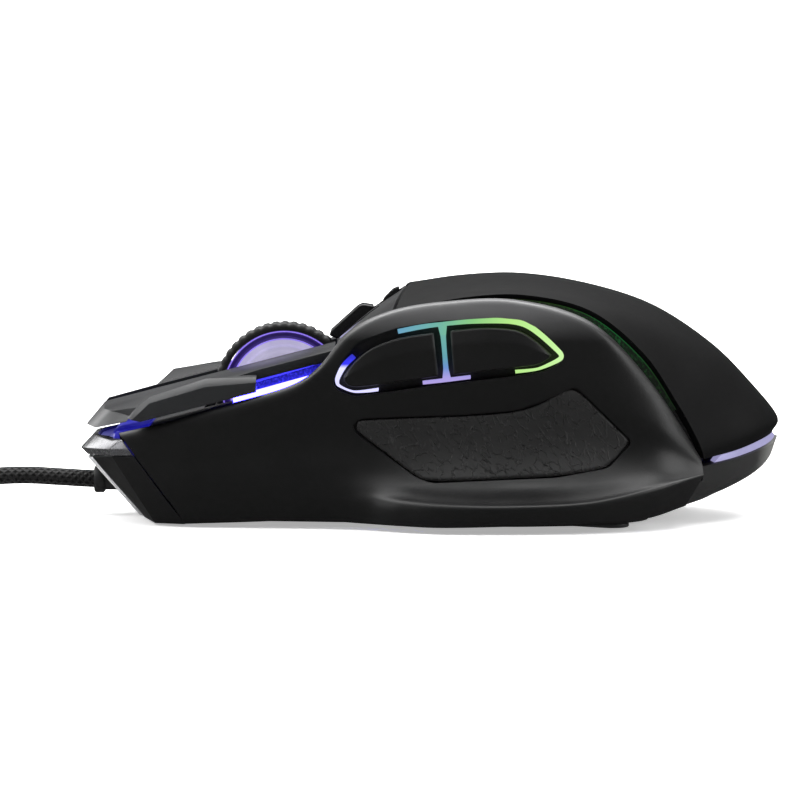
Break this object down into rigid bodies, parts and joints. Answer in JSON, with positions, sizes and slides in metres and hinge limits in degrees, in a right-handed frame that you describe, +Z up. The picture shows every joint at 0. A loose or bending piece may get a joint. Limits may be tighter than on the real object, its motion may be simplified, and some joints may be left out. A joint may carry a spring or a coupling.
{
  "type": "computer mouse",
  "caption": "Right-handed wired gaming mouse with a flared thumb rest, lit thumb buttons, split main buttons, a large scroll wheel and a coiled braided cable.",
  "frame": {"origin": "under the middle of the mouse's body, on the surface that its glide feet stand on, with the cable left out", "axes": "+X towards the palm end, -X towards the nose and the cable, -Y the thumb side, +Z up"},
  "size_m": [0.2208, 0.0878, 0.0445],
  "materials": {
    "satin_black": "satin black moulded plastic with a fine grain",
    "soft_touch": "matt soft-touch black coating",
    "button_grey": "dark steel-grey satin plastic",
    "gloss_black": "glossy black plastic",
    "frame_black": "plain matt black plastic",
    "grip_rubber": "black rubber with fine creases",
    "wheel_rubber": "black rubber with moulded treads",
    "polished_metal": "polished dark metal plating",
    "trim_chrome": "bright chrome",
    "steel": "bright steel",
    "blue_light": "translucent plastic lit blue from inside",
    "rainbow_light": "translucent plastic lit from blue to green",
    "green_light": "dark translucent plastic with a faint green light",
    "lavender_light": "milky plastic lit pale lavender",
    "circuit_board": "green solder mask",
    "switch_plastic": "black plastic with a coloured key",
    "white_plastic": "white plastic",
    "clear_plastic": "clear plastic lens",
    "glide": "smooth low-friction plastic",
    "braid": "black woven braid"
  },
  "bodies": {
    "housing": {"thumb_side_shell": "satin_black", "thumb_grip_pad": "grip_rubber", "finger_side_shell": "satin_black", "finger_grip_pad": "grip_rubber", "palm_cover": "soft_touch", "base_shell": "satin_black", "bridge_cover": "satin_black", "spine_light_left": "lavender_light", "spine_light_right": "lavender_light", "nose_shell": "satin_black", "nose_bezel": "polished_metal", "nose_light_guide": "blue_light", "nose_trim_left": "trim_chrome", "nose_trim_right": "trim_chrome", "button_deck": "frame_black", "left_light_bar": "blue_light", "right_light_bar": "blue_light", "thumb_light_guide": "rainbow_light", "palm_light_left": "green_light", "palm_light_right": "green_light", "tail_light_guide": "lavender_light", "main_board": "circuit_board", "left_switch": "switch_plastic", "right_switch": "switch_plastic", "wheel_click_switch": "switch_plastic", "sensor_lens": "clear_plastic", "motion_sensor": "switch_plastic", "cable_socket": "white_plastic", "side_board": "circuit_board", "forward_switch": "switch_plastic", "back_switch": "switch_plastic", "mode_key_board": "circuit_board", "glide_foot_front_left": "glide", "glide_foot_front_right": "glide", "glide_foot_rear_left": "glide", "glide_foot_rear_right": "glide", "case_screw_1": "steel", "case_screw_2": "steel", "case_screw_3": "steel", "case_screw_4": "steel", "strain_relief": "wheel_rubber", "cable_lead": "braid", "cable_coil": "braid", "cable_tie": "wheel_rubber", "cable_tail": "braid", "plug_grip": "wheel_rubber", "plug_shell": "steel", "plug_tongue": "white_plastic"},
    "left_click_body": {"left_button_plate": "button_grey"},
    "right_click_body": {"right_button_plate": "button_grey"},
    "wheel_carrier": {"wheel_carriage": "frame_black", "wheel_encoder": "switch_plastic"},
    "scroll_wheel": {"wheel_tyre": "wheel_rubber", "wheel_rim": "gloss_black", "wheel_hub": "lavender_light", "wheel_axle": "steel"},
    "forward_body": {"forward_button": "satin_black"},
    "back_body": {"back_button": "satin_black"},
    "dpi_front_body": {"dpi_front_button": "gloss_black"},
    "dpi_rear_body": {"dpi_rear_button": "gloss_black"}
  },
  "joints": [
    {"name": "left_click", "type": "hinge", "parent": "housing", "child": "left_click_body", "pos_m": [-0.0172, 0, 0.0302], "axis": [0, -1, 0], "range_deg": [0, 1], "stiffness_Nm_per_rad": 1.6, "springref_deg": -0.57},
    {"name": "right_click", "type": "hinge", "parent": "housing", "child": "right_click_body", "pos_m": [-0.0172, 0, 0.0302], "axis": [0, -1, 0], "range_deg": [0, 1], "stiffness_Nm_per_rad": 1.6, "springref_deg": -0.57},
    {"name": "wheel_press", "type": "slide", "parent": "housing", "child": "wheel_carrier", "axis": [0, 0, -1], "range_m": [0, 0.0006], "stiffness_N_per_m": 900, "springref_m": -0.0002},
    {"name": "wheel_spin", "type": "hinge", "parent": "wheel_carrier", "child": "scroll_wheel", "pos_m": [-0.0266, 0, 0.0226], "axis": [0, 1, 0], "continuous": true},
    {"name": "forward_press", "type": "slide", "parent": "housing", "child": "forward_body", "axis": [0, 1, 0], "range_m": [0, 0.0008], "stiffness_N_per_m": 700, "springref_m": -0.0002},
    {"name": "back_press", "type": "slide", "parent": "housing", "child": "back_body", "axis": [0, 1, 0], "range_m": [0, 0.0008], "stiffness_N_per_m": 700, "springref_m": -0.0002},
    {"name": "dpi_front_press", "type": "slide", "parent": "housing", "child": "dpi_front_body", "axis": [0, 0, -1], "range_m": [0, 0.0005], "stiffness_N_per_m": 800, "springref_m": -0.0002},
    {"name": "dpi_rear_press", "type": "slide", "parent": "housing", "child": "dpi_rear_body", "axis": [0, 0, -1], "range_m": [0, 0.0005], "stiffness_N_per_m": 800, "springref_m": -0.0002}
  ]
}
